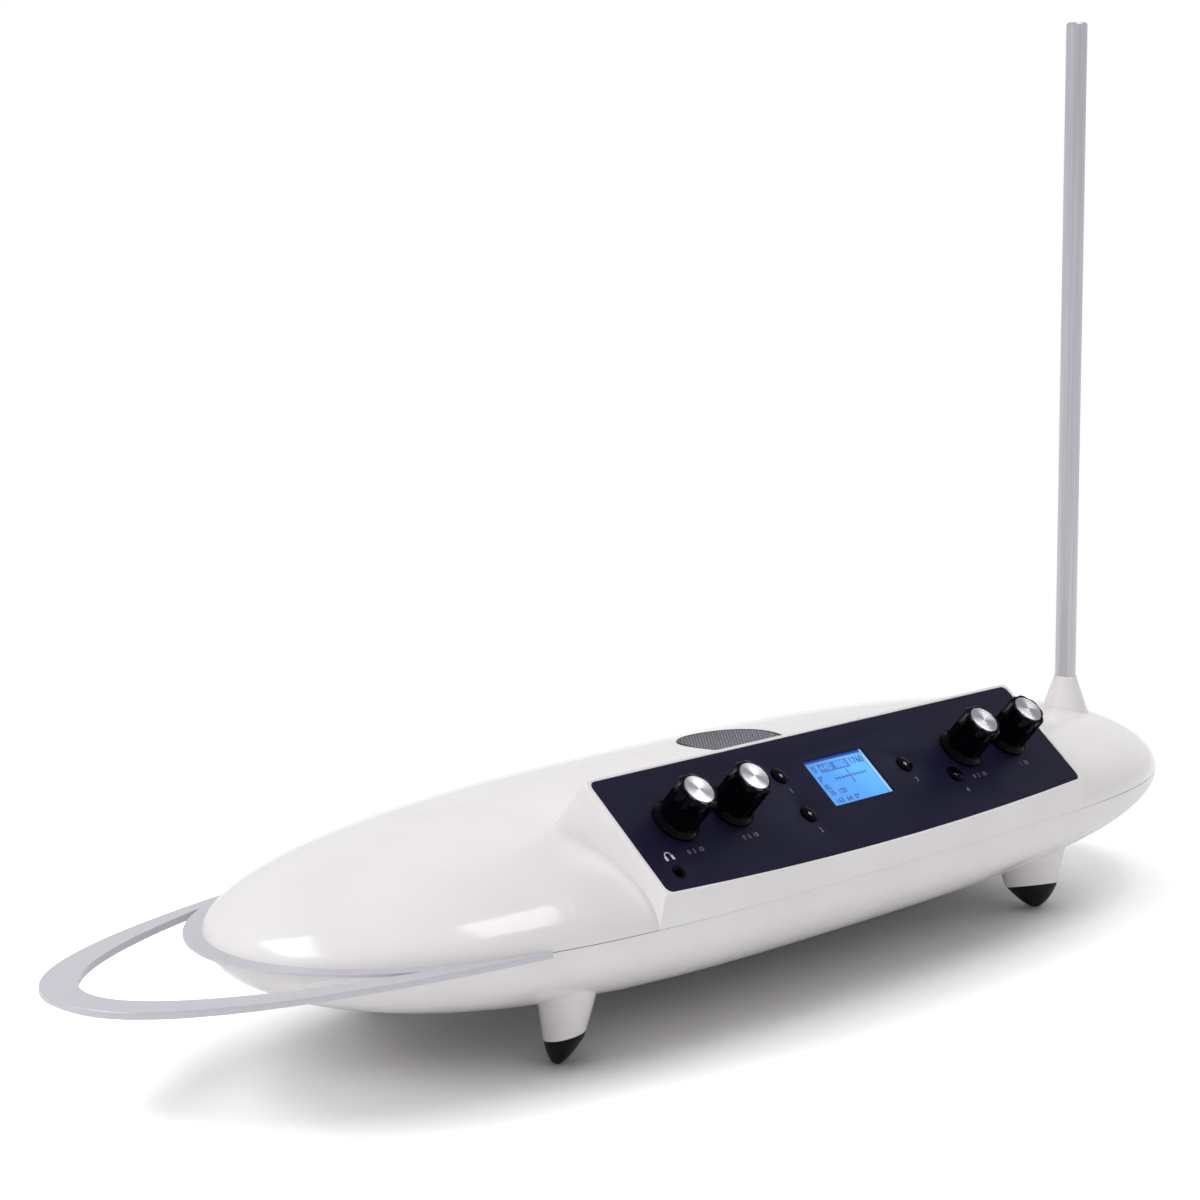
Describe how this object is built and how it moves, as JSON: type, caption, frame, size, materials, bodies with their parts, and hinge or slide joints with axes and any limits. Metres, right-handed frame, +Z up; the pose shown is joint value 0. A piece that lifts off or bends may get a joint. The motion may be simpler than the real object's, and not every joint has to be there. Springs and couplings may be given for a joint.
{
  "type": "theremin",
  "caption": "Tabletop theremin: pebble-shaped white body with a slanted control panel, a vertical rod antenna and a flat loop antenna.",
  "frame": {"origin": "on the table plane, under the middle of the whole instrument (body, loop and panel) seen from above", "axes": "+X to the player's right (towards the rod), +Y to the back (away from the player), +Z up"},
  "size_m": [0.6642, 0.1996, 0.434],
  "materials": {
    "shell": "glossy warm white moulding",
    "panel": "fine matt dark film on the control panel",
    "black_plastic": "satin black moulding",
    "gloss_black": "glossy black moulding",
    "plated_steel": "zinc-plated steel",
    "nickel_brass": "nickel-plated brass",
    "brass": "turned brass",
    "silver_paint": "satin silver coat on the flat loop",
    "aluminium": "drawn satin tube",
    "spun_aluminium": "spun face with fine rings",
    "rubber": "moulded black rubber",
    "window": "clear window over a blue display",
    "display": "blue lit display glass",
    "board": "green solder mask",
    "steel_mesh": "dark lacquered steel mesh",
    "speaker_frame": "black lacquered pressed steel",
    "paper_cone": "coated paper",
    "ferrite": "sintered ferrite",
    "phosphor_bronze": "spring strip"
  },
  "bodies": {
    "instrument": {"upper_shell": "shell", "lower_shell": "shell", "volume_antenna": "silver_paint", "volume_antenna_screws": "plated_steel", "volume_contact": "phosphor_bronze", "antenna_socket": "brass", "antenna_contact": "phosphor_bronze", "front_panel": "panel", "display_window": "window", "display_module": "display", "pot_nuts": "nickel_brass", "tact_switches": "black_plastic", "headphone_jack": "black_plastic", "control_board": "board", "control_board_screws": "plated_steel", "speaker_grille": "steel_mesh", "speaker_basket": "speaker_frame", "speaker_cone": "paper_cone", "speaker_magnet": "ferrite", "rear_panel": "panel", "jack_nuts": "nickel_brass", "supply_inlet": "black_plastic", "data_socket": "black_plastic", "power_switch": "black_plastic", "main_board": "board", "main_board_screws": "plated_steel", "case_screws": "plated_steel", "stand_insert": "brass", "volume_pot": "plated_steel", "pitch_correction_pot": "plated_steel", "amount_pot": "plated_steel", "presets_encoder": "plated_steel", "foot_tip_front_left": "rubber", "foot_tip_front_right": "rubber", "foot_tip_rear_left": "rubber", "foot_tip_rear_right": "rubber", "left_output_jack": "black_plastic", "right_output_jack": "black_plastic", "pitch_output_jack": "black_plastic"},
    "pitch_antenna": {"pitch_antenna": "aluminium"},
    "power_button": {"power_button": "gloss_black"},
    "volume_control": {"volume_knob": "gloss_black", "volume_knob_cap": "spun_aluminium", "volume_shaft": "nickel_brass"},
    "pitch_correction_control": {"pitch_correction_knob": "gloss_black", "pitch_correction_knob_cap": "spun_aluminium", "pitch_correction_shaft": "nickel_brass"},
    "amount_control": {"amount_knob": "gloss_black", "amount_knob_cap": "spun_aluminium", "amount_shaft": "nickel_brass"},
    "presets_control": {"presets_knob": "gloss_black", "presets_knob_cap": "spun_aluminium", "presets_shaft": "nickel_brass"},
    "scale_button": {"scale_button": "gloss_black"},
    "root_button": {"root_button": "gloss_black"},
    "setup_button": {"setup_button": "gloss_black"},
    "effect_button": {"effect_button": "gloss_black"}
  },
  "joints": [
    {"name": "volume_turn", "type": "hinge", "parent": "instrument", "child": "volume_control", "pos_m": [-0.0744, -0.07189, 0.09555], "axis": [0, -0.6521, 0.7581], "range_deg": [-150, 150]},
    {"name": "pitch_correction_turn", "type": "hinge", "parent": "instrument", "child": "pitch_correction_control", "pos_m": [-0.0397, -0.07189, 0.09555], "axis": [0, -0.6521, 0.7581], "range_deg": [-150, 150]},
    {"name": "amount_turn", "type": "hinge", "parent": "instrument", "child": "amount_control", "pos_m": [0.1219, -0.07189, 0.09555], "axis": [0, -0.6521, 0.7581], "range_deg": [-150, 150]},
    {"name": "presets_turn", "type": "hinge", "parent": "instrument", "child": "presets_control", "pos_m": [0.1566, -0.07189, 0.09555], "axis": [0, -0.6521, 0.7581], "continuous": true},
    {"name": "scale_press", "type": "slide", "parent": "instrument", "child": "scale_button", "axis": [0, 0.6521, -0.7581], "range_m": [0, 0.0005], "stiffness_N_per_m": 200, "springref_m": -0.0005},
    {"name": "root_press", "type": "slide", "parent": "instrument", "child": "root_button", "axis": [0, 0.6521, -0.7581], "range_m": [0, 0.0005], "stiffness_N_per_m": 200, "springref_m": -0.0005},
    {"name": "setup_press", "type": "slide", "parent": "instrument", "child": "setup_button", "axis": [0, 0.6521, -0.7581], "range_m": [0, 0.0005], "stiffness_N_per_m": 200, "springref_m": -0.0005},
    {"name": "effect_press", "type": "slide", "parent": "instrument", "child": "effect_button", "axis": [0, 0.6521, -0.7581], "range_m": [0, 0.0005], "stiffness_N_per_m": 200, "springref_m": -0.0005},
    {"name": "power_press", "type": "slide", "parent": "instrument", "child": "power_button", "axis": [0, -1, 0], "range_m": [0, 0.002], "stiffness_N_per_m": 300, "springref_m": -0.001},
    {"name": "pitch_antenna_lift", "type": "slide", "parent": "instrument", "child": "pitch_antenna", "axis": [0, 0, 1], "range_m": [0, 0.05]}
  ]
}
